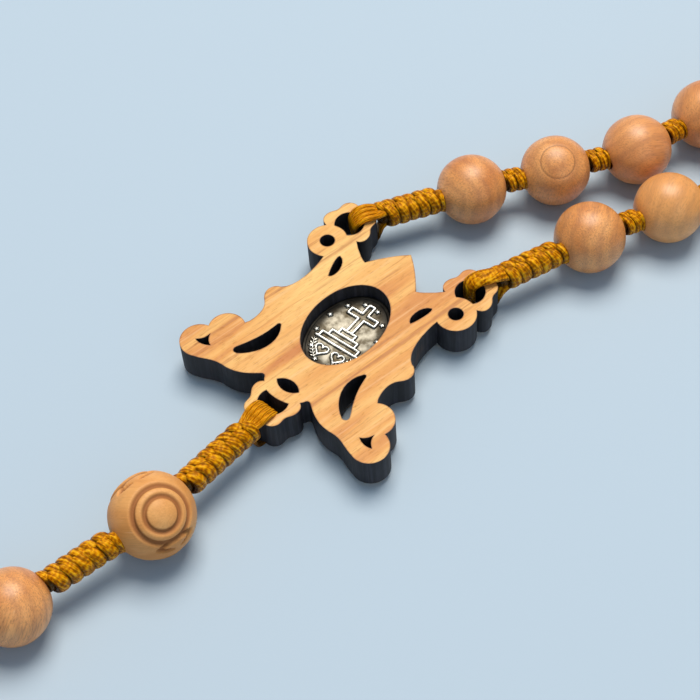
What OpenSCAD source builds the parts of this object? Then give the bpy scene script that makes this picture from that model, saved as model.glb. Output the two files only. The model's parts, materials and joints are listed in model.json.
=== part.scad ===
// Rosary: an olive-wood centrepiece with a small medal, a knotted-cord loop of five
// decades and a pendant that ends in a cross. It lies flat, spread out on a table.
// Plan headings are in degrees clockwise from +Y. Every section of cord is a body of
// its own that turns about the centre of the first bead threaded on it.

/* [Beads] */
// Diameter of a plain bead
bead_d = 7.9; // [7:0.1:9]
// Diameter of a carved bead
carved_d = 8.9; // [8:0.1:10]
// Diameter of the hole through each bead
bore_d = 1.2; // [1.1:0.05:2]

/* [Cord] */
// Diameter of the cord inside the beads
core_d = 1.1; // [0.8:0.05:1.1]
// Visible length of the knot between two plain beads
knot_len = 1.9; // [1.6:0.1:3]
// Diameter of that knot
knot_d = 2.7; // [2:0.1:3.5]
// Visible length of a wrapped section on either side of a carved bead
wrap_len = 7.8; // [6:0.1:12]
// Diameter of a wrapped section
wrap_d = 3; // [2.4:0.1:3.6]
// Clearance between a bead and the cord next to it
bead_gap = 0.1; // [0.05:0.05:0.2]

/* [Wooden pieces] */
// Thickness of the centrepiece and the cross
plate_t = 3.8; // [3:0.1:4.5]
// Height of their undersides above the table, over the cord that passes below
plate_z = 0.8; // [0.8:0.1:1.2]
// Depth of the medal's window below the top face
window_depth = 2.8; // [2:0.1:3]
// Half width of the window
window_rx = 4.1; // [3.5:0.1:4.2]
// Half height of the window
window_ry = 5.8; // [5:0.1:6]
// Radius of the small eye in each upper lobe
eye_r = 0.83; // [0.6:0.01:1]
// Length of the cross below its ring
cross_len = 36; // [30:1:45]
// Half span of its arms
cross_half_span = 11.5; // [9:0.5:14]
// Width of its beams
beam_w = 5.2; // [4:0.2:7]

/* [Medal] */
// Thickness of the medal without its relief
medal_t = 0.8; // [0.5:0.1:1.2]
// Height of the relief
relief_h = 0.25; // [0.1:0.05:0.4]
// Clearance round the medal in its window
medal_gap = 0.1; // [0.05:0.05:0.2]

/* [Hidden] */
$fn = 48;
eps = 0.01;
bead_r = bead_d / 2;
carved_r = carved_d / 2;
pitch = bead_d + knot_len;

// Ring: a small scalloped frame that a loop of cord passes through.
ring_hole_r = 1.65;
// The cord's pivot lies this far outward of the ring's centre
pivot_out = 0.8;
// Ring centres on the centrepiece, about the medal's centre
upper_ring = [8.2, 11.2];
lower_ring = [0, -12.2];
// The round lobe that holds the eye
eye_pos = [8.7, 7.9];
lobe_r = 2.25;
// Radius of the chin, whose lower edge closes the lower ring's opening
chin_r = 5.2;
chin_y = -6.5;
// Wing lobes: centre and radius
wing_lobes = [[9.95, -7.8, 2.05], [11.4, -10.7, 2.1]];

// Loop of cord round a ring's outer bar
loop_pin_r = 0.75;
loop_w = 2.5;
loop_t = 0.7;
loop_gap = 0.1;
loop_reach = 3.5;
loop_block = 0.8;

// Runs of beads, from the centrepiece outward: [kind, beads, what follows, heading].
// "knot" and "wrap" say what lies between the run's last bead and the next run.
left_lead = [13.9, 34];
left_runs = [
  ["plain", 1, "knot", 38], ["plain", 1, "knot", 36], ["plain", 4, "knot", 21],
  ["plain", 4, "wrap", -4], ["carved", 1, "wrap", 4], ["plain", 3, "knot", 16],
  ["plain", 4, "knot", 36], ["plain", 3, "wrap", 60], ["carved", 1, "wrap", 76],
  ["plain", 3, "knot", 92]
];
right_lead = [14.6, 24];
right_runs = [
  ["plain", 1, "knot", 29], ["plain", 1, "knot", 32], ["plain", 4, "knot", 62],
  ["plain", 4, "wrap", 84], ["carved", 1, "wrap", 74], ["plain", 3, "knot", 56],
  ["plain", 4, "knot", 26], ["plain", 3, "wrap", 0], ["carved", 1, "wrap", -12]
];
pendant_lead = [16.8, 184];
pendant_runs = [
  ["carved", 1, "wrap", 196], ["plain", 1, "knot", 198], ["plain", 1, "knot", 192],
  ["plain", 1, "wrap", 180]
];
// From the last carved bead to the pivot in the cross's ring, and the cross itself
tail_lead = [16.2, 166];
cross_heading = 158;
// Beads in the two runs that close the loop
cap_beads = 4;
closing_beads = 3;

function plan(d) = [d[0] * sin(d[1]), d[0] * cos(d[1])];
function heading_of(v) = atan2(v[0], v[1]);
function radius_of(kind) = kind == "carved" ? carved_r : bead_r;
function next_kind(runs, i, last) = i + 1 < len(runs) ? runs[i + 1][0] : last;
function step_len(run, next) = (run[1] - 1) * pitch
  + (run[2] == "wrap" ? radius_of(run[0]) + wrap_len + radius_of(next) : pitch);
// The pivots of a chain: where each of its runs starts, and where the last one ends
function chain(runs, at, last, i = 0) = i == len(runs)
  ? [at]
  : concat([at], chain(
      runs, at + plan([step_len(runs[i], next_kind(runs, i, last)), runs[i][3]]), last, i + 1
    ));
// Where two links of lengths a and b meet when their far ends are at p and q
function elbow(p, q, a, b) = let (
  d = q - p,
  span = norm(d),
  along = (span * span + a * a - b * b) / (2 * span),
  off = sqrt(a * a - along * along)
) p + along * d / span + off * [-d[1], d[0]] / span;

left_pivot = [-upper_ring[0], upper_ring[1] + pivot_out];
right_pivot = [upper_ring[0], upper_ring[1] + pivot_out];
pendant_pivot = [lower_ring[0], lower_ring[1] - pivot_out];
left_open = chain(left_runs, left_pivot + plan(left_lead), "plain");
right_open = chain(right_runs, right_pivot + plan(right_lead), "plain");
left_end = left_open[len(left_open) - 1];
right_end = right_open[len(right_open) - 1];
meeting = elbow(left_end, right_end, cap_beads * pitch, (closing_beads - 1) * pitch);
left_all = concat(left_runs, [["plain", cap_beads, "knot", heading_of(meeting - left_end)]]);
right_all = concat(
  right_runs, [["plain", closing_beads, "end", heading_of(meeting - right_end)]]
);
left_points = concat(left_open, [meeting]);
right_points = concat(right_open, [meeting]);
pendant_points = chain(pendant_runs, pendant_pivot + plan(pendant_lead), "carved");
tail_start = pendant_points[len(pendant_points) - 1];
tail_end = tail_start + plan(tail_lead);

// The whole layout is moved so that the origin is in the middle of its footprint
cross_tip = tail_end + plan([cross_len, cross_heading]);
outline_x = [for (p = concat(left_points, right_points, pendant_points)) p[0]];
outline_y = [for (p = concat(left_points, right_points)) p[1]];
origin_x = (min(outline_x) + max(outline_x)) / 2;
origin_y = (max(outline_y) + bead_r + cross_tip[1]) / 2;

bead_names = function (side, runs) [for (i = [1:len(runs)]) str(side, "_beads_", i)];
cord_names = function (side, runs) [for (i = [1:len(runs)]) str(side, "_cord_", i)];

// A cubic curve from a to d, without its last point
function curve(a, b, c, d, steps = 8) = [
  for (i = [0:steps - 1]) let (t = i / steps, s = 1 - t)
    s * s * s * a + 3 * s * s * t * b + 3 * s * t * t * c + t * t * t * d
];
function ellipse(rx, ry, steps = 64) = [
  for (i = [0:steps - 1]) [rx * cos(i * 360 / steps), ry * sin(i * 360 / steps)]
];

module both_sides() {
  children();
  mirror([1, 0, 0]) children();
}

// Puts children at a point given about the medal's centre
module placed(p, z = 0) {
  translate([p[0] - origin_x, p[1] - origin_y, z]) children();
}

// Turns children, drawn along +X, to run from p to q
module along(p, q) {
  d = q - p;
  placed(p, p[2]) rotate([0, -asin(d[2] / norm(d)), atan2(d[1], d[0])]) children();
}

// ---- Wooden pieces ----

// A round piece of the plate, and a round hole through it
module disc(p, r) {
  translate([p[0], p[1], 0]) cylinder(r = r, h = plate_t);
}
module hole(p, r) {
  translate([p[0], p[1], -1]) cylinder(r = r, h = plate_t + 2);
}
// A hole of any outline through the plate
module cutout(points) {
  translate([0, 0, -1]) linear_extrude(plate_t + 2) polygon(points);
}

// Right half of a ring's outer edge: the bar's middle, its knob, a dip and the side bump
function ring_half() = concat(
  curve([0, 2.8], [0.3, 2.8], [0.45, 2.6], [0.75, 2.62], 4),
  curve([0.75, 2.62], [1.5, 2.9], [2.35, 2.3], [2.3, 1.5]),
  curve([2.3, 1.5], [2.27, 1.1], [2.3, 0.8], [2.55, 0.5], 5),
  curve([2.55, 0.5], [3.15, -0.2], [3.1, -1.3], [2.2, -1.55]),
  [[2.2, -1.55], [1.2, -1.9], [0, -2.2]]
);

// Outer frame of a ring, its opening towards -Y
module ring_frame() {
  half = ring_half();
  linear_extrude(plate_t) polygon(concat(
    half, [for (i = [len(half) - 2:-1:1]) [-half[i][0], half[i][1]]]
  ));
}

// Right half of the centrepiece without its lobes and rings, from the crown down
function half_outline() = concat(
  curve([0, 11.6], [1.3, 10.6], [2.6, 9.1], [3.45, 7.85]),
  curve([3.45, 7.85], [4.1, 8], [4.9, 8.8], [5.7, 9.25], 5),
  [[6.4, 10], eye_pos + [0, 1], eye_pos + [0, -1.2]],
  curve([7.72, 6.2], [7.3, 3.9], [7.5, 0.75], [8.8, -0.05]),
  curve([8.8, -0.05], [9.75, -0.3], [10.3, -1.6], [9, -2.65]),
  curve([9, -2.65], [8.25, -3.4], [8.3, -4.8], [8.8, -6.1]),
  [[9.95, -7.8], [11.4, -10.7]],
  curve([10.6, -12.64], [9.5, -12.4], [8.6, -11.66], [7.4, -11.72]),
  curve([7.4, -11.72], [5.6, -11.82], [4.5, -11.1], [3.3, -10.15]),
  curve([3.3, -10.15], [2.95, -9.85], [2.55, -10.25], [2.65, -10.65], 5),
  [[2, -11.2], [0, -11.2]]
);

module centrepiece_blank() {
  both_sides() {
    linear_extrude(plate_t) polygon(concat(half_outline(), [[-0.1, -11.2], [-0.1, 11.5]]));
    disc(eye_pos, lobe_r);
    translate(upper_ring) ring_frame();
    for (lobe = wing_lobes) disc(lobe, lobe[2]);
  }
  translate(lower_ring) mirror([0, 1]) ring_frame();
}

// Openings for the cord, between each ring and the lobe beside it
module cord_openings() {
  both_sides() difference() {
    hole(upper_ring, ring_hole_r);
    translate([eye_pos[0], eye_pos[1], -2]) cylinder(r = lobe_r, h = plate_t + 4);
  }
  difference() {
    hole(lower_ring, ring_hole_r);
    translate([0, chin_y, -2]) cylinder(r = chin_r, h = plate_t + 4);
  }
}

// Teardrops by the upper rings, crescents in the wings and trefoils in the wing lobes
module piercings() {
  both_sides() {
    cutout(concat(
      curve([6.2, 7], [6.6, 6.9], [6, 4.9], [5.55, 4.08]),
      curve([5.55, 4.08], [4.75, 4.3], [4.95, 6.7], [6.2, 7])
    ));
    cutout(concat(
      curve([5.95, -4.15], [6.15, -6.2], [6.9, -7.7], [7.6, -9]),
      curve([7.6, -9], [7.85, -9.4], [7.55, -9.85], [7.05, -9.68], 5),
      curve([7.05, -9.68], [5.2, -8.6], [4, -6], [5.55, -4.05], 10),
      curve([5.55, -4.05], [5.65, -3.9], [5.85, -3.9], [5.95, -4.15], 4)
    ));
    cutout(concat(
      curve([11, -9.32], [11, -10.1], [11.3, -10.4], [11.8, -10.8], 5),
      curve([11.8, -10.8], [11.4, -11], [10.6, -11], [9.95, -10.5], 5),
      curve([9.95, -10.5], [10.5, -10.3], [10.8, -9.9], [11, -9.32], 5)
    ));
  }
  // Oval hole in the chin: the overlap of two circles
  intersection() {
    hole([0, -8.59], 1.88);
    hole([0, -10.91], 1.88);
  }
}

module centrepiece() {
  color("#F0B778") placed([0, 0], plate_z) difference() {
    centrepiece_blank();
    cord_openings();
    piercings();
    translate([0, 0, plate_t - window_depth])
      linear_extrude(window_depth + 1) polygon(ellipse(window_rx, window_ry));
    both_sides() hole(eye_pos, eye_r);
  }
}

// A rounded three-lobed end for a beam of the cross, pointing towards +Y
module beam_end() {
  disc([0, 0], beam_w * 0.4);
  both_sides() disc([beam_w * 0.38, -beam_w * 0.34], beam_w * 0.34);
}

// Drawn with its ring's pivot at the origin and its foot towards +Y
module cross() {
  head_y = pivot_out + 4;
  arm_y = pivot_out + 12;
  color("#F0B778") placed(tail_end, plate_z) rotate([0, 0, -cross_heading]) difference() {
    union() {
      translate([0, pivot_out, 0]) mirror([0, 1]) ring_frame();
      disc([0, head_y], lobe_r);
      translate([-beam_w / 2, head_y, 0])
        cube([beam_w, cross_len - head_y - beam_w * 0.4, plate_t]);
      translate([-cross_half_span + beam_w * 0.4, arm_y - beam_w / 2, 0])
        cube([2 * cross_half_span - beam_w * 0.8, beam_w, plate_t]);
      translate([0, cross_len - beam_w * 0.4, 0]) beam_end();
      both_sides() translate([cross_half_span - beam_w * 0.4, arm_y, 0])
        rotate([0, 0, -90]) beam_end();
    }
    difference() {
      hole([0, pivot_out], ring_hole_r);
      translate([0, head_y, -2]) cylinder(r = lobe_r, h = plate_t + 4);
    }
  }
}

// ---- Medal ----

module medal() {
  rx = window_rx - medal_gap;
  ry = window_ry - medal_gap;
  color("#A9A59A") placed([0, 0], plate_z + plate_t - window_depth) {
    linear_extrude(medal_t) polygon(ellipse(rx, ry));
    translate([0, 0, medal_t - eps]) linear_extrude(relief_h + eps) {
      difference() {
        polygon(ellipse(rx, ry));
        polygon(ellipse(rx - 0.4, ry - 0.4));
      }
      // A plain Latin cross on a hill
      translate([-0.3, -1.6]) square([0.6, 4.8]);
      translate([-1.4, 1.1]) square([2.8, 0.6]);
      polygon([[-2.4, -3], [0, -1.2], [2.4, -3]]);
    }
  }
}

// ---- Cord ----

module bar(x0, x1, d) {
  translate([x0, 0, 0]) rotate([0, 90, 0]) cylinder(d = d, h = x1 - x0);
}

// The cord of one run: its core through the beads, the knots between them, and the
// knot or wrapped section that reaches the next run's first bead
module run_cord(run, p, q, next_r) {
  r = radius_of(run[0]);
  length = norm(q - p);
  last_x = (run[1] - 1) * pitch;
  core_end = run[2] == "end" ? last_x + r * 0.85 : length - next_r - 2 * bead_gap;
  color("#C98A00") along(p, q) {
    bar(-r * 0.85, core_end, core_d);
    if (run[1] > 1)
      for (i = [1:run[1] - 1]) bar((i - 1) * pitch + r + bead_gap, i * pitch - r - bead_gap, knot_d);
    if (run[2] != "end")
      bar(last_x + r + bead_gap, length - next_r - bead_gap, run[2] == "wrap" ? wrap_d : knot_d);
  }
}

// A loop of cord round a ring's bar, drawn at its pivot with the strand towards +X
module bar_loop() {
  top = plate_z + plate_t + loop_gap;
  cylinder(r = loop_pin_r, h = top + loop_t);
  for (z = [0, top]) translate([0, -loop_w / 2, z]) cube([loop_reach, loop_w, loop_t]);
  for (z = [0, top]) translate([0, 0, z]) cylinder(d = loop_w, h = loop_t);
  translate([loop_reach - loop_block, -loop_w / 2, 0])
    cube([loop_block, loop_w, top + loop_t]);
}

// A loop and the wrapped section from it to the first bead of a strand
module lead_cord(pivot, bead, r) {
  d = bead - pivot;
  length = norm(d);
  color("#C98A00") {
    placed(pivot) rotate([0, 0, atan2(d[1], d[0])]) bar_loop();
    along(pivot, bead) bar(loop_reach - loop_block / 2, length - r - bead_gap, wrap_d);
  }
}

// The last section: through the last carved bead and on to the cross's ring
module tail_cord(bead, pivot, r) {
  d = pivot - bead;
  length = norm(d);
  color("#C98A00") {
    along(bead, pivot) {
      bar(-r * 0.85, r + 1, core_d);
      bar(r + bead_gap, length - loop_reach + loop_block / 2, wrap_d);
    }
    placed(pivot) rotate([0, 0, atan2(d[1], d[0]) + 180]) bar_loop();
  }
}

// ---- Beads ----

module bead(r) {
  difference() {
    sphere(r = r);
    translate([0, 0, -r - 1]) cylinder(d = bore_d, h = 2 * r + 2);
  }
}

module run_beads(run, p, q) {
  r = radius_of(run[0]);
  color(run[0] == "carved" ? "#E5A96B" : "#D9985F") along(p, q)
    for (i = [0:run[1] - 1]) translate([i * pitch, 0, 0]) rotate([0, 90, 0]) bead(r);
}

// Each pivot's height is its bead's radius, so that the beads rest on the table
function lifted(p, r) = [p[0], p[1], r];
function from_point(points, runs, i) = lifted(points[i], radius_of(runs[i][0]));
function to_point(points, runs, i, last) =
  lifted(points[i + 1], radius_of(next_kind(runs, i, last)));

module strand(side, runs, points, last) {
  for (i = [0:len(runs) - 1]) {
    p = from_point(points, runs, i);
    q = to_point(points, runs, i, last);
    run_cord(runs[i], p, q, radius_of(next_kind(runs, i, last)));
    run_beads(runs[i], p, q);
  }
}

tail_p = lifted(tail_start, carved_r);
tail_q = lifted(tail_end, bead_r);

centrepiece();
medal();
cross();
lead_cord(lifted(left_pivot, bead_r), from_point(left_points, left_all, 0), bead_r);  // left_loop
lead_cord(lifted(right_pivot, bead_r), from_point(right_points, right_all, 0), bead_r);  // right_loop
lead_cord(lifted(pendant_pivot, bead_r), from_point(pendant_points, pendant_runs, 0), carved_r);  // pendant_loop
tail_cord(tail_p, tail_q, carved_r);  // pendant_tail_cord
run_beads(["carved", 1, "end", 0], tail_p, tail_q);  // pendant_tail_bead
strand("left", left_all, left_points, "plain");
strand("right", right_all, right_points, "plain");
strand("pendant", pendant_runs, pendant_points, "carved");
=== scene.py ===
"""Looks for the rosary: olive-wood plates and beads, a silver medal and a knotted satin cord.

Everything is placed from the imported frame: the pivots of the joints are the bead centres, and
the spin axes are the directions of the cord. Lengths in the code are in millimetres.
"""

import json
import math
import random

import bmesh
import bpy
import numpy as np
from mathutils import Matrix, Vector

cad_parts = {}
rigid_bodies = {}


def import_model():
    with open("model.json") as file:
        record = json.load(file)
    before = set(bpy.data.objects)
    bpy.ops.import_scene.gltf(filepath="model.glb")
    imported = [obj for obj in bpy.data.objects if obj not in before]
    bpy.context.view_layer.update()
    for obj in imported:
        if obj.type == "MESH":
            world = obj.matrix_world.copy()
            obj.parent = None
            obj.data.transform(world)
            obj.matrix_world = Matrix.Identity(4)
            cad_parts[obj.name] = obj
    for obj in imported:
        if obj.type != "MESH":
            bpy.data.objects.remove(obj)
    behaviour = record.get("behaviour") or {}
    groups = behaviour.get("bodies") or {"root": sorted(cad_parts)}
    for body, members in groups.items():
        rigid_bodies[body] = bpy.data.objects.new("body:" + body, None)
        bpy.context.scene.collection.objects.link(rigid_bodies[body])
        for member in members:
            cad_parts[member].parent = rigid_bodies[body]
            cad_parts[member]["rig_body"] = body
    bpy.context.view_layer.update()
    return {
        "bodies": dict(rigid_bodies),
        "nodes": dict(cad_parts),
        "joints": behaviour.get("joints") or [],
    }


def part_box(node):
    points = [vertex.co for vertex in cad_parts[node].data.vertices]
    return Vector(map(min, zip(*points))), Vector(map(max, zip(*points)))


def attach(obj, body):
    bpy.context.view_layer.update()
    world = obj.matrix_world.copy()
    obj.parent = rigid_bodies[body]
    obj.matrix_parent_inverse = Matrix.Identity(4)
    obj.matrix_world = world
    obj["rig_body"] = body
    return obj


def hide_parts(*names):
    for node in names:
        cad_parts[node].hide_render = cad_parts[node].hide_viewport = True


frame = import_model()

MM = 0.001
PITCH = 9.8          # from one bead of a run to the next
GAP = 0.1            # clearance between a bead and the cord beside it
TUCK = 0.50          # how far a knot's end reaches round the curve of a bead
KNOT = 1.32, 1.0     # radius of the knots between beads, and the step from lobe to lobe
WRAP = 1.48, 1.36    # the same for the wraps beside the carved beads
LEAD = 1.50, 1.36    # and for the wraps beside the plate's rings
LEAN = 0.62          # slant of the lobes, in steps per radius
CORE_R = 0.52        # the two twisted strands inside the beads
BRAID_LENGTH = 0.85  # of one crossing in the braid of a strand
BRAID_BUNDLES = 4    # thread bundles round a strand, each way
BORE_R = 0.6         # of every bead
CARVED_R = 4.2       # a bead larger than this is carved
RING_REACH = 2.8     # from the middle of a ring to the start of its wraps
AXIS_Z = 3.95        # height of the cord's axis where it meets a ring
PLATE_TOP = 4.6      # heights of the centrepiece's and the cross's faces
PLATE_UNDER = 0.8
UP = np.array([0.0, 0.0, 1.0])
CIRCLE_TOWARD = 0.289, -0.33, 0.899        # where a growth ring of the second bead faces
MEDALLION_TOWARD = 0.582, -0.119, 0.804    # where a medallion of the first carved bead faces

joint_of = {j["child"]: j for j in frame["joints"]}


def pivot(body):
    """Where a body turns, in millimetres."""
    return np.array(joint_of[body]["pos_m"], float) / MM


def spin_axis(body):
    """The direction that a body turns about."""
    return unit(np.array(joint_of[body]["axis"], float))


def unit(v):
    return v / np.linalg.norm(v)


def off_axis(points, axis):
    """Distance of points from an axis through the origin."""
    return np.linalg.norm(points - np.outer(points @ axis, axis), axis=1)


# ---------------------------------------------------------------- mesh making

class Shape:
    """Collects closed surfaces, with the values that their materials read, into one mesh."""

    def __init__(self):
        self.points, self.faces, self.strand = [], [], []
        # the darkening value holds real marks (singed rims, a growth ring, patina) and painted shade in
        # crevices, bores and cuts
        self.values = {"grain": [], "tone": [], "groove": []}
        self.count = 0

    def add(self, points, faces, strand=None, grain=None, tone=0.5, groove=None):
        """Adds a surface. strand holds a pair per face corner, the rest a value per point."""
        n = len(points)
        self.points.append(points)
        self.faces += [tuple(int(i) + self.count for i in f) for f in faces]
        self.strand += list(strand) if strand is not None else [(0.0, 0.0)] * sum(map(len, faces))
        self.values["grain"].append(points if grain is None else grain)
        self.values["tone"].append(np.broadcast_to(np.asarray(tone, float), n))
        self.values["groove"].append(np.zeros(n) if groove is None else groove)
        self.count += n

    def piece(self, name, node, material, slot):
        """Makes the object, which takes the place of a CAD node and rides on its body."""
        mesh = bpy.data.meshes.new(name)
        mesh.from_pydata((np.vstack(self.points) * MM).tolist(), [], self.faces)
        put_value(mesh, "grain", np.vstack(self.values["grain"]), "FLOAT_VECTOR")
        put_value(mesh, "tone", np.concatenate(self.values["tone"]), "FLOAT")
        put_value(mesh, "groove", np.concatenate(self.values["groove"]), "FLOAT")
        strand = mesh.uv_layers.new(name="strand")
        strand.data.foreach_set("uv", np.array(self.strand, np.float32).ravel())
        mesh.polygons.foreach_set("use_smooth", np.ones(len(self.faces), bool))
        mesh.update()
        return placed(name, mesh, node, material)


def put_value(mesh, name, data, kind):
    """Stores one value per point, for the materials to read."""
    field = "vector" if kind == "FLOAT_VECTOR" else "value"
    attribute = mesh.attributes.new(name, kind, "POINT")
    attribute.data.foreach_set(field, np.ascontiguousarray(data, np.float32).ravel())


def placed(name, mesh, node, material):
    """The object that takes the place of a CAD node and rides on its body."""
    piece = bpy.data.objects.new(name, mesh)
    bpy.context.scene.collection.objects.link(piece)
    mesh.materials.clear()
    mesh.materials.append(material)
    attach(piece, frame["nodes"][node]["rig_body"])
    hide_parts(node)
    return piece


def tube(path, side, half_w, half_h, sides, closed, along):
    """A strand along a path. side is the direction of its width; half sizes may vary along it.
    Returns points, faces and, per corner, the place along the strand and round it."""
    path = np.asarray(path, float)
    n = len(path)
    if closed:
        tangent = np.roll(path, -1, 0) - np.roll(path, 1, 0)
    else:
        tangent = np.gradient(path, axis=0)
    tangent /= np.linalg.norm(tangent, axis=1)[:, None]
    side = np.broadcast_to(np.asarray(side, float), path.shape)
    a = side - (side * tangent).sum(1)[:, None] * tangent
    a /= np.linalg.norm(a, axis=1)[:, None]
    b = np.cross(tangent, a)
    w = np.broadcast_to(half_w, n)[:, None, None]
    h = np.broadcast_to(half_h, n)[:, None, None]
    turn = np.arange(sides) * 2 * np.pi / sides
    ring = a[:, None] * (w * np.cos(turn)[None, :, None]) + b[:, None] * (h * np.sin(turn)[None, :, None])
    points = (path[:, None] + ring).reshape(-1, 3)
    step = np.linalg.norm(np.diff(path, axis=0, append=path[:1]), axis=1)
    reach = along + np.concatenate([[0], np.cumsum(step)])
    faces, strand = [], []
    for i in range(n if closed else n - 1):
        k = (i + 1) % n
        for j in range(sides):
            m = (j + 1) % sides
            faces.append((i * sides + j, i * sides + m, k * sides + m, k * sides + j))
            v0, v1 = j / sides, (j + 1) / sides
            strand += [(reach[i], v0), (reach[i], v1), (reach[i + 1], v1), (reach[i + 1], v0)]
    if not closed:
        for end, order in ((0, -1), (n - 1, 1)):
            faces.append(tuple(end * sides + j for j in range(sides))[::order])
            strand += [(reach[end], 0.0)] * sides
    return points, faces, strand


def curve(controls, steps):
    """A smooth path through control points, evenly parametrised (Catmull-Rom)."""
    c = np.asarray(controls, float)
    c = np.vstack([2 * c[0] - c[1], c, 2 * c[-1] - c[-2]])
    t = np.linspace(0, 1, steps, endpoint=False)[:, None]
    out = []
    for a, b, d, e in zip(c, c[1:], c[2:], c[3:]):
        out.append(0.5 * (2 * b + (d - a) * t + (2 * a - 5 * b + 4 * d - e) * t ** 2
                          + (3 * b - a - 3 * d + e) * t ** 3))
    return np.vstack(out + [c[-2:-1]])


# ---------------------------------------------------------------- materials

class Graph:
    """A node material in few words."""

    def __init__(self, name):
        self.material = bpy.data.materials.new(name)
        self.material.use_nodes = True
        self.tree = self.material.node_tree
        self.shader = self.tree.nodes["Principled BSDF"]

    def node(self, kind, inputs=(), **properties):
        made = self.tree.nodes.new(kind)
        for key, value in properties.items():
            setattr(made, key, value)
        for key, value in dict(inputs).items():
            self.put(made.inputs[key], value)
        return made

    def put(self, socket, value):
        if isinstance(value, bpy.types.NodeSocket):
            self.tree.links.new(value, socket)
        else:
            socket.default_value = value

    def set(self, **inputs):
        for key, value in inputs.items():
            self.put(self.shader.inputs[key.replace("_", " ")], value)

    def value(self, name):
        return self.node("ShaderNodeAttribute", attribute_name=name).outputs["Fac"]

    def vector(self, name):
        return self.node("ShaderNodeAttribute", attribute_name=name).outputs["Vector"]

    def math(self, operation, a, b=0.0):
        return self.node("ShaderNodeMath", {0: a, 1: b}, operation=operation).outputs[0]

    def noise(self, vector, scale, detail, roughness=0.5, distortion=0.0, offset=(0, 0, 0)):
        """Noise with its own scale along each axis."""
        place = self.node("ShaderNodeMapping", {"Vector": vector, "Scale": scale, "Location": offset})
        made = self.node("ShaderNodeTexNoise", {
            "Vector": place.outputs[0], "Scale": 1.0, "Detail": detail,
            "Roughness": roughness, "Distortion": distortion})
        return made.outputs["Fac"]

    def range(self, value, low, high, to_low=0.0, to_high=1.0):
        """A soft step: to_low up to low, and to_high from high on."""
        made = self.node("ShaderNodeMapRange", {
            0: value, 1: low, 2: high, 3: to_low, 4: to_high}, interpolation_type="SMOOTHSTEP")
        return made.outputs[0]

    def ramp(self, value, stops):
        made = self.node("ShaderNodeValToRGB", {0: value})
        ramp = made.color_ramp
        while len(ramp.elements) < len(stops):
            ramp.elements.new(0.5)
        for element, (place, colour) in zip(ramp.elements, stops):
            element.position = place
            element.color = (*colour, 1)
        return made.outputs[0]

    def blend(self, amount, a, b):
        """Colour a where the amount is 0, and b where it is 1."""
        made = self.node("ShaderNodeMix", data_type="RGBA")
        for index, value in ((0, amount), (6, a), (7, b)):
            if isinstance(value, tuple):
                value = (*value, 1)
            self.put(made.inputs[index], value)
        return made.outputs[2]

    def bump(self, height, strength, distance):
        inputs = {"Height": height, "Strength": strength, "Distance": distance}
        return self.node("ShaderNodeBump", inputs).outputs[0]


def paint(code):
    """A colour from its usual hex code, made linear."""
    parts = [int(code[i:i + 2], 16) / 255 for i in (0, 2, 4)]
    return tuple(c / 12.92 if c <= 0.04045 else ((c + 0.055) / 1.055) ** 2.4 for c in parts)


def plate_wood():
    """Laser-cut olive wood: honey face with lengthwise streaks and charred cut edges."""
    g = Graph("olive_wood_plate")
    grain = g.vector("grain")
    bands = g.noise(grain, (0.03, 0.32, 0.25), 3, 0.55, 0.6)
    streaks = g.noise(grain, (0.07, 1.9, 1.2), 4, 0.6, 0.3, offset=(3, 1, 0))
    fibres = g.noise(grain, (0.5, 11, 7), 3, 0.6)
    pores = g.range(g.noise(grain, (0.9, 14, 10), 1, 0.5, offset=(7, 2, 5)), 0.64, 0.72)
    face = g.ramp(bands, [(0.32, paint("F2C170")), (0.46, paint("EAAE5C")),
                          (0.56, paint("DF9843")), (0.68, paint("C6742B"))])
    face = g.blend(g.range(streaks, 0.52, 0.70, 0, 0.72), face, paint("AE6626"))
    face = g.blend(g.range(streaks, 0.32, 0.46, 0.35, 0), face, paint("F6CB92"))
    face = g.blend(g.range(fibres, 0.35, 0.7, 0, 0.30), face, paint("CB8A4A"))
    face = g.blend(g.math("MULTIPLY", pores, 0.40), face, paint("80451C"))
    by_edge = g.math("POWER", g.value("groove"), 1.6)
    singe = g.math("MULTIPLY", by_edge, g.range(streaks, 0.3, 0.7, 0.50, 0.95))
    face = g.blend(singe, face, paint("6A3716"))
    place = g.node("ShaderNodeTexCoord").outputs["Object"]
    ridges = g.noise(place, (2600, 2600, 70), 3, 0.65)
    soot = g.noise(place, (300, 300, 150), 3, 0.6)
    char = g.ramp(soot, [(0.34, paint("1A191F")), (0.52, paint("313039")), (0.66, paint("453F41")),
                         (0.80, paint("66442F"))])
    char = g.blend(g.range(ridges, 0.40, 0.68, 0.65, 0), char, paint("0C0B0E"))
    normal = g.node("ShaderNodeTexCoord").outputs["Normal"]
    tilt = g.math("ABSOLUTE", g.node("ShaderNodeSeparateXYZ", {0: normal}).outputs["Z"])
    scorch = g.ramp(tilt, [(0.30, (0, 0, 0)), (0.90, (0.35, 0.35, 0.35)), (0.985, (1, 1, 1))])
    rim = g.blend(g.range(tilt, 0.3, 0.9), char, paint("4A2812"))
    g.set(Base_Color=g.blend(scorch, rim, face), Roughness=g.range(tilt, 0.4, 0.95, 0.66, 0.44))
    height = g.blend(scorch, g.blend(0.35, ridges, soot), g.math("SUBTRACT", fibres, pores))
    depth = g.range(tilt, 0.3, 0.9, 0.16 * MM, 0.045 * MM)
    g.set(Normal=g.bump(height, 0.55, depth), Specular_IOR_Level=0.40)
    return g.material


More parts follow.
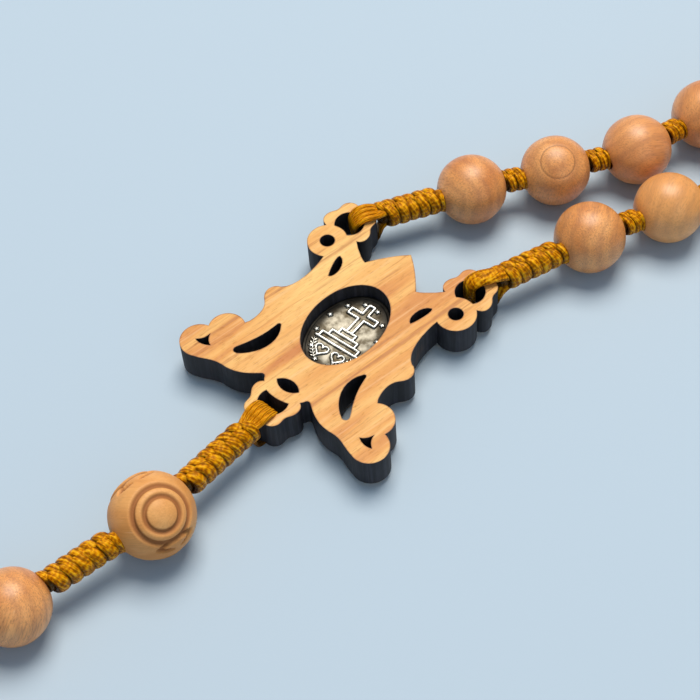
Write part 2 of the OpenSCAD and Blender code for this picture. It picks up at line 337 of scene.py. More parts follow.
def bead_wood():
    """Turned and tumbled olive wood: soft rings and fibres in a warm tan, waxed."""
    g = Graph("olive_wood_bead")
    grain, tone = g.vector("grain"), g.value("tone")
    xyz = g.node("ShaderNodeSeparateXYZ", {0: grain})
    wobble = g.noise(grain, (0.12, 0.5, 0.5), 2, 0.5)
    across = g.node("ShaderNodeCombineXYZ", {1: xyz.outputs["Y"], 2: xyz.outputs["Z"]})
    radius = g.node("ShaderNodeVectorMath", {0: across.outputs[0]}, operation="LENGTH").outputs["Value"]
    phase = g.math("ADD", g.math("MULTIPLY", radius, 4.3), g.math("MULTIPLY", wobble, 7.0))
    rings = g.math("ADD", g.math("MULTIPLY", g.math("SINE", phase), 0.5), 0.5)
    fibres = g.noise(grain, (0.35, 5.5, 5.5), 4, 0.62)
    flecks = g.range(g.noise(grain, (1.1, 12, 12), 1, 0.5, offset=(4, 1, 2)), 0.60, 0.72)
    cloud = g.noise(grain, (0.16, 0.3, 0.3), 2, 0.5, offset=(9, 0, 3))
    body = g.ramp(cloud, [(0.30, paint("F8AF68")), (0.50, paint("EC9E55")), (0.72, paint("D8853F"))])
    body = g.blend(g.math("MULTIPLY", g.math("POWER", rings, 1.8), 0.34), body, paint("A8673E"))
    body = g.blend(g.range(fibres, 0.42, 0.70, 0, 0.58), body, paint("A96B42"))
    body = g.blend(g.range(fibres, 0.42, 0.24, 0, 0.40), body, paint("F0C092"))
    body = g.blend(g.math("MULTIPLY", flecks, 0.45), body, paint("7B4527"))
    body = g.blend(g.range(tone, 0.4, 1, 0, 0.40), body, paint("DC9058"))
    body = g.blend(g.range(tone, 0.4, 0, 0, 0.45), body, paint("EAA45A"))
    # painted shade in the bore and at its mouth, and the dark line of a growth ring
    body = g.blend(g.range(g.value("groove"), 0, 1, 0, 0.8), body, paint("5E3118"))
    g.set(Base_Color=body, Roughness=g.range(fibres, 0.3, 0.7, 0.40, 0.52))
    height = g.math("ADD", fibres, g.math("MULTIPLY", flecks, -0.6))
    g.set(Normal=g.bump(height, 0.30, 0.06 * MM), Specular_IOR_Level=0.55)
    g.set(Coat_Weight=0.40, Coat_Roughness=0.34)
    return g.material


def carved_wood():
    """Carved bead: the same wood, paler and duller, with painted shade in the cuts and the bore."""
    g = Graph("olive_wood_carved")
    grain, groove = g.vector("grain"), g.value("groove")
    fibres = g.noise(grain, (0.35, 6.5, 6.5), 4, 0.62)
    cloud = g.noise(grain, (0.10, 0.35, 0.35), 2, 0.5)
    body = g.ramp(cloud, [(0.30, paint("EBA963")), (0.52, paint("E09953")), (0.72, paint("D08741"))])
    body = g.blend(g.range(fibres, 0.40, 0.72, 0, 0.34), body, paint("BC7E4A"))
    body = g.blend(g.range(fibres, 0.42, 0.24, 0, 0.30), body, paint("F6CB9A"))
    # painted shade in the carved cuts and the bore
    body = g.blend(g.range(groove, 0.05, 0.95, 0, 0.80), body, paint("8F5227"))
    g.set(Base_Color=body, Roughness=g.range(groove, 0, 1, 0.50, 0.72))
    g.set(Normal=g.bump(fibres, 0.26, 0.05 * MM), Specular_IOR_Level=0.36)
    return g.material


def cord_satin():
    """Braided satin cord: crossing bundles of fine shiny thread, mustard gold. The crowns of the braid
    and the threads carry painted highlights, the crossings and crevices painted shade.
    """
    g = Graph("satin_cord_gold")
    place = g.node("ShaderNodeUVMap", uv_map="strand").outputs[0]
    object_place = g.node("ShaderNodeTexCoord").outputs["Object"]
    jitter = g.noise(object_place, (900, 900, 900), 2, 0.5)
    xyz = g.node("ShaderNodeSeparateXYZ", {0: place})
    jolt = g.math("MULTIPLY", g.math("SUBTRACT", jitter, 0.5), 7.0)
    along = g.math("ADD", g.math("MULTIPLY", xyz.outputs["X"], 2 * math.pi / BRAID_LENGTH), jolt)
    about = g.math("ADD", g.math("MULTIPLY", xyz.outputs["Y"], 2 * math.pi * BRAID_BUNDLES), jolt)
    left = g.math("SINE", g.math("ADD", about, along))
    right = g.math("SINE", g.math("SUBTRACT", about, along))
    strength = g.range(g.value("tone"), 0, 1, 0.10, 0.34)
    plaited = g.math("MULTIPLY", g.math("MULTIPLY", left, right), strength)
    braid = g.math("ADD", plaited, 0.5)
    creep = g.math("ADD", xyz.outputs["Y"], g.math("MULTIPLY", xyz.outputs["X"], 0.07))
    slanted = g.node("ShaderNodeCombineXYZ", {0: xyz.outputs["X"], 1: creep}).outputs[0]
    threads = g.noise(slanted, (0.85, 15, 1), 2, 0.55)
    patches = g.noise(object_place, (640, 640, 640), 2, 0.5)
    # painted shade and highlight: dark where the bundles cross, bright on their crowns
    colour = g.ramp(braid, [(0.08, paint("904900")), (0.42, paint("D07B00")), (0.88, paint("F8AD0A"))])
    # painted shade between the threads and painted sheen along them
    colour = g.blend(g.range(threads, 0.46, 0.64, 0, 0.80), colour, paint("703B00"))
    colour = g.blend(g.range(threads, 0.46, 0.34, 0, 0.65), colour, paint("F8BB24"))
    colour = g.blend(g.range(patches, 0.52, 0.74, 0, 0.35), colour, paint("A05900"))
    # painted shade in the crevices between lobes and where strands pass under a bar
    colour = g.blend(g.range(g.value("groove"), 0.0, 1.0, 0, 0.92), colour, paint("341800"))
    g.set(Base_Color=colour, Roughness=g.range(threads, 0.3, 0.7, 0.26, 0.46))
    height = g.math("ADD", braid, g.math("MULTIPLY", threads, -1.1))
    g.set(Normal=g.bump(height, 0.85, 0.11 * MM), Specular_IOR_Level=0.34)
    g.set(Specular_Tint=(1.0, 0.66, 0.14, 1))
    return g.material


def antique_silver():
    """Struck medal: bright raised lines, a black-brown patina in the hollows and by the rim, and painted
    shadow at the foot of the raised lines.
    """
    g = Graph("antique_silver")
    raised, rim = g.value("tone"), g.value("groove")
    place = g.node("ShaderNodeTexCoord").outputs["Object"]
    blotch = g.noise(place, (620, 620, 620), 4, 0.6)
    grit = g.noise(place, (5200, 5200, 5200), 2, 0.6)
    scratch = g.noise(place, (900, 9000, 900), 2, 0.6)
    ground = g.ramp(blotch, [(0.32, paint("37322B")), (0.50, paint("746D5F")), (0.66, paint("B3AC9D"))])
    ground = g.blend(g.range(blotch, 0.56, 0.40, 0, 0.6), ground, paint("51442C"))
    ground = g.blend(g.range(rim, 0.25, 0.95, 0, 0.93), ground, paint("1D1A17"))
    bright = g.blend(g.range(scratch, 0.4, 0.7, 0, 0.3), paint("EFECE4"), paint("BDB8AC"))
    # dark at the foot of each raised line: patina there, and painted shadow
    foot = g.range(raised, 0.02, 0.30)
    shadow = g.math("MULTIPLY", foot, g.range(raised, 0.60, 0.34))
    ground = g.blend(g.math("MULTIPLY", shadow, 0.85), ground, paint("1A1815"))
    amount = g.range(g.math("ADD", raised, g.math("MULTIPLY", grit, 0.12)), 0.50, 0.80)
    g.set(Base_Color=g.blend(amount, ground, bright), Metallic=0.85)
    g.set(Roughness=g.range(amount, 0, 1, 0.54, 0.30))
    height = g.math("ADD", grit, g.math("MULTIPLY", blotch, 1.5))
    g.set(Normal=g.bump(height, 0.30, 0.03 * MM))
    return g.material


# ---------------------------------------------------------------- cord

def pushed_out(points, centre, radius):
    """Points inside a ball are moved out to its surface."""
    away = points - centre
    size = np.linalg.norm(away, axis=1)[:, None]
    return np.where(size < radius, centre + away / size * radius, points)


def stretch_frame(start, end):
    """Direction of a stretch of cord, the level and upward directions square to it, its length."""
    axis = unit(end - start)
    right = unit(np.cross(axis, UP))
    return axis, right, np.cross(right, axis), np.linalg.norm(end - start)


def knots(shape, start, end, size, seed, balls):
    """A knotted stretch of cord: two interlocked rows of lobes, one on each side.
    Each lobe is a strand that goes round its own side of the cord, and dips between the
    lobes of the other row in the middle. size is KNOT, WRAP or LEAD. balls are the centres
    and radii of the beads that the stretch sits against."""
    rnd = random.Random(seed)
    radius, spacing = size
    axis, right, up, length = stretch_frame(start, end)
    count = max(1, round(length / spacing))
    pitch = length / (count + 0.5)
    half = 0.50 * pitch
    thick = min(0.34 * radius, 0.70 * half)
    sides, stations = 14, 40
    turn = np.arange(stations) * 2 * np.pi / stations
    inward = 0.5 - 0.5 * np.cos(turn)
    for k in range(2 * count):
        # the lobe's loop, which reaches a little past the middle and leans along the cord
        out = 1 if k % 2 else -1
        middle = half + 0.5 * pitch * k
        wide = (0.80 + 0.04 * rnd.uniform(-1, 1)) * radius - thick
        tall = (1.0 + 0.05 * rnd.uniform(-1, 1)) * radius - thick
        shift = radius - thick - wide
        across = out * (shift + wide * np.cos(turn))
        s = middle + LEAN * pitch * across / radius + 0.07 * pitch * rnd.uniform(-1, 1)
        path = start + np.outer(s, axis) + np.outer(across, right)
        path += np.outer(tall * np.sin(turn), up)
        # the strand is full on the outside and pressed thin in the middle
        width = half * (1.22 - 0.34 * inward)
        fat = thick * (1.06 - 0.26 * inward)
        points, faces, strand = tube(path, axis, width, fat, sides, True, rnd.uniform(0, 9))
        # nothing reaches past the stretch or into a bead
        along = (points - start) @ axis
        points -= np.outer(np.minimum(along, 0) + np.maximum(along - length, 0), axis)
        for centre, ball in balls:
            points = pushed_out(points, centre, ball + 0.01)
        # painted shade: dark near the middle of the cord and between the lobes, where the lobes shade
        # each other
        sunk = 0.97 - off_axis(points - start, axis) / radius
        aside = np.abs((points - start) @ axis - np.repeat(s, sides)) / half
        dark = np.clip(sunk / 0.30, 0, 1) + 1.3 * np.clip(aside - 0.50, 0, 1)
        shape.add(points, faces, strand, tone=1.0, groove=np.clip(dark, 0, 1))


def core(shape, start, end):
    """The cord inside the beads: two strands twisted round each other."""
    axis, right, up, length = stretch_frame(start, end)
    s = np.linspace(0, length, max(4, int(length / 0.5)))
    twist, off, thick = 3.2, 0.45 * CORE_R, 0.55 * CORE_R
    for begin in (0, math.pi):
        angle = s * 2 * np.pi / twist + begin
        path = (start + np.outer(s, axis) + np.outer(np.cos(angle) * off, right)
                + np.outer(np.sin(angle) * off, up))
        shape.add(*tube(path, right + up * 0.01, thick, thick, 8, False, begin))


def extent(node, origin, axis):
    """How far a CAD node reaches along an axis, before and after a point, and its radius."""
    co = np.array([v.co for v in frame["nodes"][node].data.vertices], float) / MM - origin
    along = co @ axis
    return along.min(), along.max(), off_axis(co, axis).max()


def run_of(beads):
    """First bead's centre, direction, number of beads and bead radius of a run."""
    origin, axis = pivot(beads), spin_axis(beads)
    low, high, radius = extent(beads, origin, axis)
    return origin, axis, round((high - low - 2 * radius) / PITCH) + 1, radius


def bead_at(body):
    """Centre and radius of the first bead of a run."""
    centre = pivot(body)
    return centre, extent(body, centre, spin_axis(body))[2]


def cord_section(node, beads, next_bead, material, seed):
    """The cord of one run: core, the knots between its beads, and the one after its last bead,
    which is a wrap where it is long. next_bead is the centre and radius of the bead beyond."""
    origin, axis, count, radius = run_of(beads)
    low, high, _ = extent(node, origin, axis)
    shape = Shape()
    core(shape, origin + axis * low, origin + axis * (high - GAP))
    for i in range(count - 1):
        one, two = origin + axis * i * PITCH, origin + axis * (i + 1) * PITCH
        balls = ((one, radius), (two, radius))
        inset = axis * (radius - TUCK)
        knots(shape, one + inset, two - inset, KNOT, seed + i, balls)
    last = (count - 1) * PITCH + radius
    after = high - last
    if after > 1:
        a = origin + axis * (last - TUCK)
        b = origin + axis * (high + GAP + TUCK)
        balls = [(origin + axis * (count - 1) * PITCH, radius)]
        if next_bead is not None:
            balls.append(next_bead)
        knots(shape, a, b, WRAP if after > 4 else KNOT, seed + 50, balls)
    shape.piece(node + "_knots", node, material, "cord")


def ring_loop(shape, at, out, strands, seed):
    """Strands that leave the wraps over the bar of a ring, go down through the ring, and come
    back under the bar. Each strand has a place across the bundle, a half width, a rise and a
    drift: how far to the side it goes into the ring."""
    side = unit(np.cross(out, UP))
    sides = 14

    def point(x, y, z):
        return at + out * x + side * y + UP * z

    for offset, width, rise, drift in strands:
        thick = min(width, 0.55)
        top = PLATE_TOP + thick + rise
        under = PLATE_UNDER - 0.3
        inside = 0.21 - thick
        over_bar = [
            point(4.4, offset * 0.30, AXIS_Z + 0.25),
            point(3.5, offset * 0.55, AXIS_Z + 0.75),
            point(2.6, offset * 0.85, top - 0.15),
            point(1.7, offset + drift * 0.15, top + 0.05),
            point(0.9, offset + drift * 0.5, top + 0.05),
        ]
        through_ring = [
            point(inside + 0.49, offset + drift * 0.85, top - 0.25),
            point(inside + 0.06, offset * 0.85 + drift, top - 0.85),
            point(inside, offset * 0.6 + drift, 3.0),
            point(inside + 0.09, offset * 0.5 + drift * 0.6, PLATE_UNDER + 0.4),
        ]
        under_bar = [
            point(0.15, offset * 0.45 + drift * 0.3, under),
            point(0.9, offset * 0.45, under - 0.06),
            point(1.8, offset * 0.5, under - 0.02),
            point(2.5, offset * 0.45, under + 0.25),
            point(2.85, offset * 0.4, 1.6),
            point(3.2, offset * 0.35, 2.5),
            point(4.2, offset * 0.3, 3.1),
        ]
        path = curve(over_bar + through_ring + under_bar, 7)
        below = np.clip((2.6 - path[:, 2]) / 1.4, 0, 1)
        wide = width * (1 - 0.25 * below)
        tall = thick * (1 - 0.4 * below)
        points, faces, strand = tube(path, side, wide, tall, sides, False, seed)
        braided = 1.0 if width > 0.4 else 0.0
        # painted shade: the strand is darker where it runs down through the ring and back under the bar
        shape.add(points, faces, strand, tone=braided, groove=np.repeat(0.85 * below, sides))


def ring_at(body):
    """Middle of the ring that a body swings about, at the height of the floor."""
    return pivot(body) * np.array([1, 1, 0])


def lead_section(node, bead_body, strands, material, seed):
    """The cord from a ring of the centrepiece to the first bead of its strand."""
    at = ring_at(node)
    start = at + UP * AXIS_Z
    bead, radius = bead_at(bead_body)
    axis = unit(bead - start)
    level = unit(np.array([axis[0], axis[1], 0]))
    shape = Shape()
    ring_loop(shape, at, level, strands, seed)
    end = bead - axis * (radius - TUCK)
    knots(shape, start + axis * RING_REACH, end, LEAD, seed, [(bead, radius)])
    shape.piece(node + "_strands", node, material, "cord")


def tail_section(material):
    """The cord through the last carved bead and on to the ring of the cross."""
    bead, radius = bead_at("pendant_tail_bead")
    axis = spin_axis("pendant_tail_bead")
    at = ring_at("cross")
    end = at + UP * AXIS_Z
    shape = Shape()
    core(shape, bead - axis * radius * 0.85, bead + axis * (radius + 1))
    start = bead + axis * (radius - TUCK)
    knots(shape, start, end - axis * RING_REACH, WRAP, 900, [(bead, radius)])
    level = unit(np.array([-axis[0], -axis[1], 0]))
    two = [(-0.55, 0.56, 0.0, 0.0), (0.55, 0.56, 0.05, 0.0)]
    ring_loop(shape, at, level, two, 901)
    shape.piece("pendant_tail_cord_strands", "pendant_tail_cord", material, "cord")


# ---------------------------------------------------------------- beads

def frame_about(axis, turn):
    """Two directions square to an axis, turned about it."""
    across = unit(np.cross(axis, UP))
    up = np.cross(across, axis)
    c, s = math.cos(turn), math.sin(turn)
    return across * c + up * s, up * c - across * s


def bead_surface(radius, steps, sides):
    """A bead turned about its bore: over the ball from one end to the other, and back through
    the bore. Returns places along and away from the axis, the angles round it, and faces."""
    mouth = math.asin((BORE_R + 0.12) / radius)
    polar = np.linspace(mouth, math.pi - mouth, steps)
    along = -radius * np.cos(polar)
    away = radius * np.sin(polar)
    lip = along[-1]
    flare = [(lip - 0.02, BORE_R + 0.06), (lip - 0.10, BORE_R + 0.02), (lip - 0.4, BORE_R), (0, BORE_R)]
    back = flare + [(-x, r) for x, r in flare[-2::-1]]
    along = np.concatenate([along, [x for x, r in back]])
    away = np.concatenate([away, [r for x, r in back]])
    turn = np.arange(sides) * 2 * np.pi / sides
    n = len(along)
    faces = []
    for i in range(n):
        k = (i + 1) % n
        for j in range(sides):
            m = (j + 1) % sides
            faces.append((i * sides + j, k * sides + j, k * sides + m, i * sides + m))
    return along, away, turn, faces


def bead_points(axis, turn_by, along, away, turn):
    """The points of a bead's surface, from its centre."""
    a, b = frame_about(axis, turn_by)
    ring = np.cos(turn)[:, None] * a + np.sin(turn)[:, None] * b
    local = along[:, None, None] * axis + away[:, None, None] * ring[None]
    return local.reshape(-1, 3)


def grain_frame(rnd, facing=None):
    """A random wood direction for one bead, and where its pith lies."""
    if facing is None:
        direction = unit(np.array([rnd.gauss(0, 1), rnd.gauss(0, 1), rnd.gauss(0, 0.7)]))
        pith = np.array([rnd.uniform(-40, 40), rnd.uniform(5, 14), rnd.uniform(-3, 3)])
    else:
        direction = unit(np.array(facing, float))
        pith = np.array([rnd.uniform(-40, 40), 0.3, -0.2])
    helper = UP if abs(direction[2]) < 0.8 else np.array([1.0, 0, 0])
    a = unit(np.cross(direction, helper))
    return np.array([direction, a, np.cross(direction, a)]), pith


def growth_ring(points, circle):
    """Share of a thin circle drawn about a direction, on the side of a bead that faces it."""
    toward = unit(np.array(circle))
    across_line = (off_axis(points, toward) - 1.9) / 0.10
    return np.exp(-across_line ** 2) * (points @ toward > 0)


def plain_beads(node, material, seed, circle=None):
    """The beads of a run. circle is the direction in which the first one shows a growth ring
    as a thin dark circle."""
    origin, axis, count, radius = run_of(node)
    shape = Shape()
    for i in range(count):
        rnd = random.Random(seed * 31 + i)
        fine = circle is not None and i == 0
        along, away, turn, faces = bead_surface(radius, 120 if fine else 40, 170 if fine else 56)
        local = bead_points(axis, rnd.uniform(0, 6), along, away, turn)
        outside = np.linalg.norm(local, axis=1) > radius * 0.9
        turned = 1 - 0.012 * rnd.random() - 0.004 * np.sin(3 * local[:, 2] + i)
        local = np.where(outside[:, None], local * turned[:, None], local)
        basis, pith = grain_frame(rnd, circle if fine else None)
        # painted shade inside the bore and at its mouth
        dark = np.clip((BORE_R + 0.22 - off_axis(local, axis)) / 0.2, 0, 1)
        if fine:
            line = growth_ring(local, circle)
            dark = np.maximum(dark, 0.62 * line)
            local = local * (1 - 0.03 / radius * line)[:, None]
        centre = origin + axis * PITCH * i
        shape.add(local + centre, faces, None, local @ basis.T + pith, rnd.random(), dark)
    shape.piece(node + "_wood", node, material, "bead_wood")


def soft(t):
    """A share from 0 to 1 with eased ends."""
    t = np.clip(t, 0, 1)
    return t * t * (3 - 2 * t)


def medallion(facing):
    """Depth and painted shade of two rounded rings about a low dome. facing is the cosine of the angle
    from its middle."""
    angle = np.degrees(np.arccos(np.clip(facing, -1, 1)))
    dome = 23.0
    depth = 0.16 * np.clip(angle / dome, 0, 1) ** 2 * (angle < dome)
    painted_shade = np.zeros(len(angle))
    for at, half, deep in ((24.0, 6.0, 0.34), (40.5, 6.5, 0.36)):
        off = np.abs(angle - at)
        depth = np.maximum(depth, deep * soft(1 - off / half))
        painted_shade = np.maximum(painted_shade, soft(1.15 - off / (half * 0.95)))
    return depth, painted_shade


def leaf_cut(direction, lat, lon, lean):
    """Share of the full depth of a leaf-shaped cut at a latitude and longitude."""
    long_half, short_half = 13.0, 3.4
    pole = np.array([1.0, 0, 0])
    level = np.array([0, math.cos(lon), math.sin(lon)])
    middle = math.sin(lat) * pole + math.cos(lat) * level
    ahead = math.cos(lat) * pole - math.sin(lat) * level
    ahead = unit(ahead + lean * np.cross(middle, ahead))
    u = np.degrees(direction @ ahead) / long_half
    v = np.degrees(direction @ np.cross(middle, ahead)) / short_half
    return np.sqrt(np.clip(1 - u * u - v * v, 0, 1) * (direction @ middle > 0.6))


def carving(direction, axis, a, b):
    """Depth of the cut, in millimetres, and the painted shade in it, for unit directions on a carved
    bead: three medallions about it, and crossed leaf cuts between them, a little nearer to one medallion
    than to the other."""
    direction = direction @ np.stack([axis, a, b], 1)
    depth = np.zeros(len(direction))
    painted_shade = np.zeros(len(direction))
    for k in range(3):
        turn = k * 2 * math.pi / 3
        facing = direction[:, 1] * math.cos(turn) + direction[:, 2] * math.sin(turn)
        ring_depth, ring_painted_shade = medallion(facing)
        depth = np.maximum(depth, ring_depth)
        painted_shade = np.maximum(painted_shade, ring_painted_shade)
        for end in (-1, 1):
            for lean in (-1, 1):
                lat = end * math.radians(17)
                lon = turn + math.radians(71 + 4.5 * lean)
                cut = leaf_cut(direction, lat, lon, 0.30 * lean * end)
                depth = np.maximum(depth, 0.45 * cut)
                painted_shade = np.maximum(painted_shade, cut)
    return depth, painted_shade


def carved_bead(node, material, seed, facing=None):
    """A bead with medallions. facing is the direction of one medallion's middle; without it,
    one is drawn at random."""
    origin, axis, _, radius = run_of(node)
    rnd = random.Random(seed)
    steps, sides = 150, 220
    along, away, turn, faces = bead_surface(radius, steps, sides)
    local = bead_points(axis, 0, along, away, turn)
    size = np.linalg.norm(local, axis=1)
    outer = np.arange(len(local)) < steps * sides
    direction = local / size[:, None]
    spin = rnd.uniform(0, math.pi)
    carve_a = frame_about(axis, spin)[0] if facing is None else unit(np.array(facing))
    carve_axis = unit(axis - carve_a * (axis @ carve_a))
    depth, painted_shade = carving(direction, carve_axis, carve_a, np.cross(carve_axis, carve_a))
    calm = np.clip((off_axis(local, axis) - BORE_R - 0.35) / 0.5, 0, 1) * outer
    local = local - direction * (depth * calm)[:, None]
    basis, pith = grain_frame(rnd)
    # painted shade in the cuts, and in the bore
    dark = np.where(outer, painted_shade * calm, 0.6)
    shape = Shape()
    shape.add(local + origin, faces, None, local @ basis.T + pith, 0.5, dark)
    shape.piece(node + "_wood", node, material, "carved_bead_wood")


# ---------------------------------------------------------------- plates

def plate(node, material, heading):
    """A copy of the CAD plate with its edges eased, as a laser and a light sanding leave them.
    heading is the direction of the wood grain, in degrees clockwise from +Y. A narrow rim of
    each flat face is marked for the singed edge."""
    mesh = frame["nodes"][node].data.copy()
    bm = bmesh.new()
    bm.from_mesh(mesh)
    bmesh.ops.remove_doubles(bm, verts=bm.verts, dist=1e-6)
    bmesh.ops.dissolve_limit(bm, angle_limit=math.radians(1.5), verts=bm.verts, edges=bm.edges)
    sharp = [e for e in bm.edges if len(e.link_faces) == 2 and e.calc_face_angle(0) > math.radians(60)]
    bmesh.ops.bevel(bm, geom=sharp, offset=0.15 * MM, segments=3, profile=0.6, affect="EDGES",
                    clamp_overlap=True)
    flats = [f for f in bm.faces if abs(f.normal.z) > 0.999]
    bmesh.ops.inset_region(bm, faces=flats, thickness=0.17 * MM, use_boundary=True)
    bm.verts.index_update()
    unsinged = sorted({v.index for f in flats for v in f.verts})
    for face in bm.faces:
        face.smooth = True
    bmesh.ops.triangulate(bm, faces=[f for f in bm.faces if len(f.verts) > 4])
    bm.to_mesh(mesh)
    bm.free()
    co = np.array([v.co for v in mesh.vertices], float) / MM
    turn = math.radians(heading)
    ahead = np.array([math.sin(turn), math.cos(turn), 0])
    across = np.array([ahead[1], -ahead[0], 0])
    put_value(mesh, "grain", np.stack([co @ ahead, co @ across, co[:, 2]], 1), "FLOAT_VECTOR")
    singed = np.ones(len(co))
    singed[unsinged] = 0
    put_value(mesh, "groove", singed, "FLOAT")
    mesh.set_sharp_from_angle(angle=math.radians(35))
    return placed(node + "_wood", mesh, node, material)


# ---------------------------------------------------------------- medal

def near_line(p, a, b):
    """Distance of points from a line segment."""
    a, b = np.array(a, float), np.array(b, float)
    t = np.clip(((p - a) @ (b - a)) / ((b - a) @ (b - a)), 0, 1)
    return np.linalg.norm(p - (a + t[:, None] * (b - a)), axis=1)


def near_path(p, corners):
    """Distance of points from a line through corners."""
    return np.min([near_line(p, a, b) for a, b in zip(corners, corners[1:])], axis=0)


def drawn(distance, half):
    """Height of a raised line, 0 to 1, at a distance from its middle."""
    return np.clip((half - distance) / 0.14 + 0.5, 0, 1)


def mirrored(right_half):
    """A right half of an outline and its mirror image, as one line."""
    return right_half + [(-x, y) for x, y in right_half[::-1]]


def cross_on_steps(p):
    """The outline of a cross on three steps and a ground line."""
    post, arm = 0.36, 1.75
    low, bar_low, bar_top, top = 0.55, 2.55, 3.3, 4.6
    right_half = [(post, low), (post, bar_low), (arm, bar_low), (arm, bar_top), (post, bar_top),
                  (post, top)]
    height = drawn(near_path(p, mirrored(right_half)), 0.15)
    for k in range(3):
        half_w, y = 0.95 + 0.75 * k, 0.45 - 0.72 * k
        step = mirrored([(half_w, y - 0.62), (half_w, y)])
        height = np.maximum(height, drawn(near_path(p, step), 0.15))
    ground, reach = -1.75, 2.75
    return np.maximum(height, drawn(near_line(p, (-reach, ground), (reach, ground)), 0.17))


def heart(p, side):
    """The outline of a heart below the steps."""
    size = 0.048
    t = np.linspace(0, 2 * np.pi, 30)
    x = size * 16 * np.sin(t) ** 3 + side * 1.05
    y = size * (13 * np.cos(t) - 5 * np.cos(2 * t) - 2 * np.cos(3 * t) - np.cos(4 * t)) - 3.05
    return drawn(near_path(p, list(zip(x, y))), 0.13)


def sprig(p, side):
    """A curved stem with pairs of short leaves, by the lower rim."""
    leaf = 0.42
    swing = np.linspace(0.1, 1.1, 8)
    stem = [(side * (0.6 + 2.3 * math.sin(u)), -4.5 + 2.4 * (1 - math.cos(u)) + u) for u in swing]
    height = drawn(near_path(p, stem), 0.06)
    for (x0, y0), (x1, y1) in zip(stem[1:], stem[2:]):
        ux, uy = unit(np.array([x1 - x0, y1 - y0]))
        for lean in (-1, 1):
            tip = (x0 + leaf * (ux * 0.6 - lean * uy * 0.8), y0 + leaf * (uy * 0.6 + lean * ux * 0.8))
            height = np.maximum(height, drawn(near_line(p, (x0, y0), tip), 0.07))
    return 0.8 * height


def stud(p, x, y):
    """A domed stud with five points."""
    dx, dy = p[:, 0] - x, p[:, 1] - y
    reach = 0.30 + 0.08 * np.cos(5 * np.arctan2(dy, dx))
    return 0.9 * np.clip(1 - (np.hypot(dx, dy) / reach) ** 2, 0, 1) ** 0.5


def medal_height(p, rx, ry):
    """The struck relief, 0 to 1: a cross on three steps, two hearts, two sprigs, twelve studs."""
    parts = [cross_on_steps(p)]
    for side in (-1, 1):
        parts += [heart(p, side), sprig(p, side)]
    studs = 12
    for k in range(studs):
        turn = (k + 0.5) * 2 * np.pi / studs
        parts.append(stud(p, rx * 0.82 * np.cos(turn), ry * 0.80 * np.sin(turn)))
    return np.max(parts, axis=0)


def disc_faces(rings, sides):
    """Faces of a disc: a fan round the middle point, rings, a wall and a flat underside."""
    faces = [(0, 1 + j, 1 + (j + 1) % sides) for j in range(sides)]
    for i in range(rings):
        a, b = 1 + i * sides, 1 + (i + 1) * sides
        faces += [(a + j, b + j, b + (j + 1) % sides, a + (j + 1) % sides) for j in range(sides)]
    under = 1 + rings * sides
    return faces + [tuple(under + j for j in range(sides))[::-1]]


def medal(material):
    """An oval disc that fills the CAD medal's box, with a hollowed and struck top and a rim."""
    low, high = (np.array(corner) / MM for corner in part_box("medal"))
    centre = (low[:2] + high[:2]) / 2
    rx, ry = (high[:2] - low[:2]) / 2
    rings, sides = 120, 280
    turn = np.arange(sides) * 2 * np.pi / sides
    share = np.linspace(0, 1, rings + 1)[1:] ** 0.92
    flat = np.array([(rx * t * math.cos(a), ry * t * math.sin(a)) for t in share for a in turn])
    flat = np.vstack([[[0.0, 0.0]], flat])
    raised = medal_height(flat, rx, ry)
    reach = np.hypot(flat[:, 0] / rx, flat[:, 1] / ry)
    rim = np.clip((reach - 0.93) / 0.02, 0, 1) * 0.10
    z = high[2] - 0.35 + 0.10 * reach ** 2 + 0.24 * raised + rim
    points = np.column_stack([flat + centre, z])
    foot = points[-sides:].copy()
    foot[:, 2] = low[2]
    dull = np.clip((reach - 0.45) / 0.5, 0, 1)
    shape = Shape()
    shape.add(np.vstack([points, foot]), disc_faces(rings, sides),
              tone=np.concatenate([raised, np.zeros(sides)]),
              groove=np.concatenate([dull, np.ones(sides)]))
    shape.piece("medal_silver", "medal", material, "medal_metal")


# ---------------------------------------------------------------- scene

def camera(centre):
    """The photograph's viewpoint, about the middle of the medal at the plate's top. The
    directions, the distance and the lens come from lining up the plate and the beads."""
    data = bpy.data.cameras.new("camera")
    data.lens = 92.35
    data.sensor_width = 36
    data.clip_start = 0.005
    rig = bpy.data.objects.new("camera", data)
    bpy.context.scene.collection.objects.link(rig)
    forward = unit(np.array([-0.394, 0.4375, -0.8083]))
    up = np.array([-0.4721, 0.6582, 0.5864])
    right = unit(np.cross(forward, up))
    up = np.cross(right, forward)
    turn = Matrix([[right[i], up[i], -forward[i]] for i in range(3)]).to_4x4()
    place = Vector((centre + np.array([76.73, -84.87, 152.39])) * MM)
    rig.matrix_world = Matrix.Translation(place) @ turn
    bpy.context.scene.camera = rig
    bpy.context.scene.view_settings.view_transform = "Standard"


def soft_light(name, place, target, size, power, colour):
    """A square area light that faces a target."""
    data = bpy.data.lights.new(name, "AREA")
    data.shape = "SQUARE"
    data.size = size
    data.energy = power
    data.color = colour
    lamp = bpy.data.objects.new(name, data)
    bpy.context.scene.collection.objects.link(lamp)
    lamp.location = place
    lamp.rotation_euler = (Vector(target) - Vector(place)).to_track_quat("-Z", "Y").to_euler()


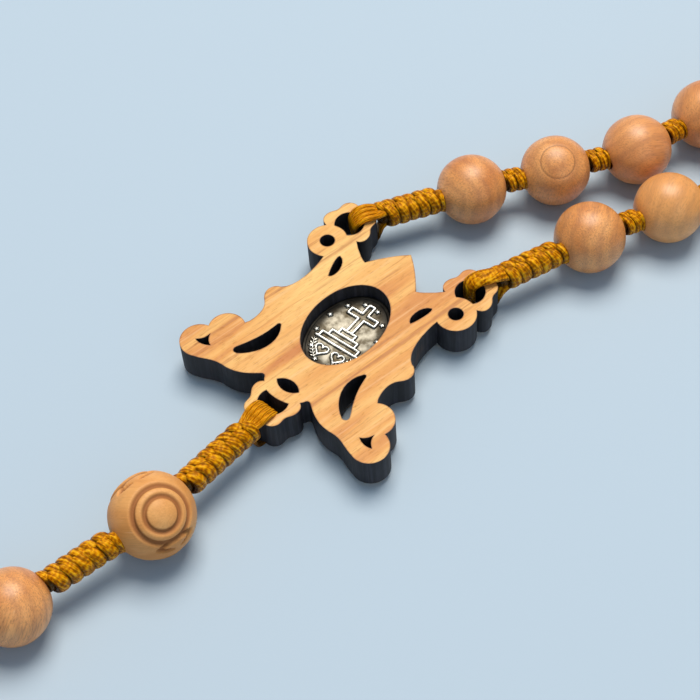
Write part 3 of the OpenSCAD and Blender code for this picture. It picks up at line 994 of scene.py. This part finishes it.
def studio(centre):
    """A pale blue sky, a plain pale floor, a soft window behind the object and a weak fill."""
    world = bpy.data.worlds.new("studio")
    world.use_nodes = True
    sky = world.node_tree.nodes["Background"]
    sky.inputs["Color"].default_value = (0.55, 0.78, 1.0, 1)
    sky.inputs["Strength"].default_value = 0.34
    bpy.context.scene.world = world
    target = centre * MM
    soft_light("window", target + np.array([-0.12, 0.26, 0.78]), target, 0.50, 7.9, (1.0, 0.935, 0.83))
    soft_light("fill", target + np.array([0.55, -0.20, 0.40]), target, 0.6, 0.6, (0.90, 0.95, 1.0))
    bm = bmesh.new()
    bmesh.ops.create_grid(bm, x_segments=1, y_segments=1, size=2.5)
    mesh = bpy.data.meshes.new("floor")
    bm.to_mesh(mesh)
    bm.free()
    floor = bpy.data.objects.new("floor", mesh)
    bpy.context.scene.collection.objects.link(floor)
    g = Graph("floor_pale")
    g.set(Base_Color=(*paint("B5C5D4"), 1), Roughness=0.75, Specular_IOR_Level=0.2)
    mesh.materials.append(g.material)


# ---------------------------------------------------------------- the rosary

def ring_cords(material):
    """Four strands lie in the left ring, one thick one in the right, five in the lower one."""
    four = [((k - 1.5) * 0.60, 0.35, 0.06 * (k % 2), 0.0) for k in range(4)]
    one = [(0.0, 1.0, 0.05, -0.55)]
    five = [(k * 0.54, 0.31, 0.05 * (k % 2), 0.0) for k in range(-2, 3)]
    lead_section("left_loop", "left_beads_1", four, material, 11)
    lead_section("right_loop", "right_beads_1", one, material, 12)
    lead_section("pendant_loop", "pendant_beads_1", five, material, 13)


def bead_after(body):
    """Centre and radius of the bead that follows a run, if there is one. The loop closes from
    the last left run to the far end of the last right run."""
    if body == "left_beads_11":
        first, way, count, radius = run_of("right_beads_10")
        return first + way * PITCH * (count - 1), radius
    if body == "pendant_beads_4":
        return bead_at("pendant_tail_bead")
    strand, place = body.rsplit("_", 1)
    after = f"{strand}_{int(place) + 1}"
    return bead_at(after) if after in frame["bodies"] else None


def bead_runs(cord, plain, carved):
    """Every run of beads with the section of cord that it is threaded on."""
    for number, body in enumerate(sorted(b for b in frame["bodies"] if "_beads_" in b)):
        section = body.replace("_beads_", "_cord_")
        cord_section(section, body, bead_after(body), cord, 100 + 10 * number)
        if run_of(body)[3] > CARVED_R:
            toward = MEDALLION_TOWARD if body == "pendant_beads_1" else None
            carved_bead(body, carved, number, toward)
        else:
            plain_beads(body, plain, number, CIRCLE_TOWARD if body == "left_beads_2" else None)
    carved_bead("pendant_tail_bead", carved, 77)


medal_low, medal_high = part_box("medal")
middle = np.array([(medal_low[0] + medal_high[0]) / 2, (medal_low[1] + medal_high[1]) / 2, 0]) / MM
middle[2] = PLATE_TOP
camera(middle)
studio(middle)

wood = plate_wood()
satin = cord_satin()
plate("centrepiece", wood, 13)
plate("cross", wood, 160)
medal(antique_silver())
ring_cords(satin)
tail_section(satin)
bead_runs(satin, bead_wood(), carved_wood())
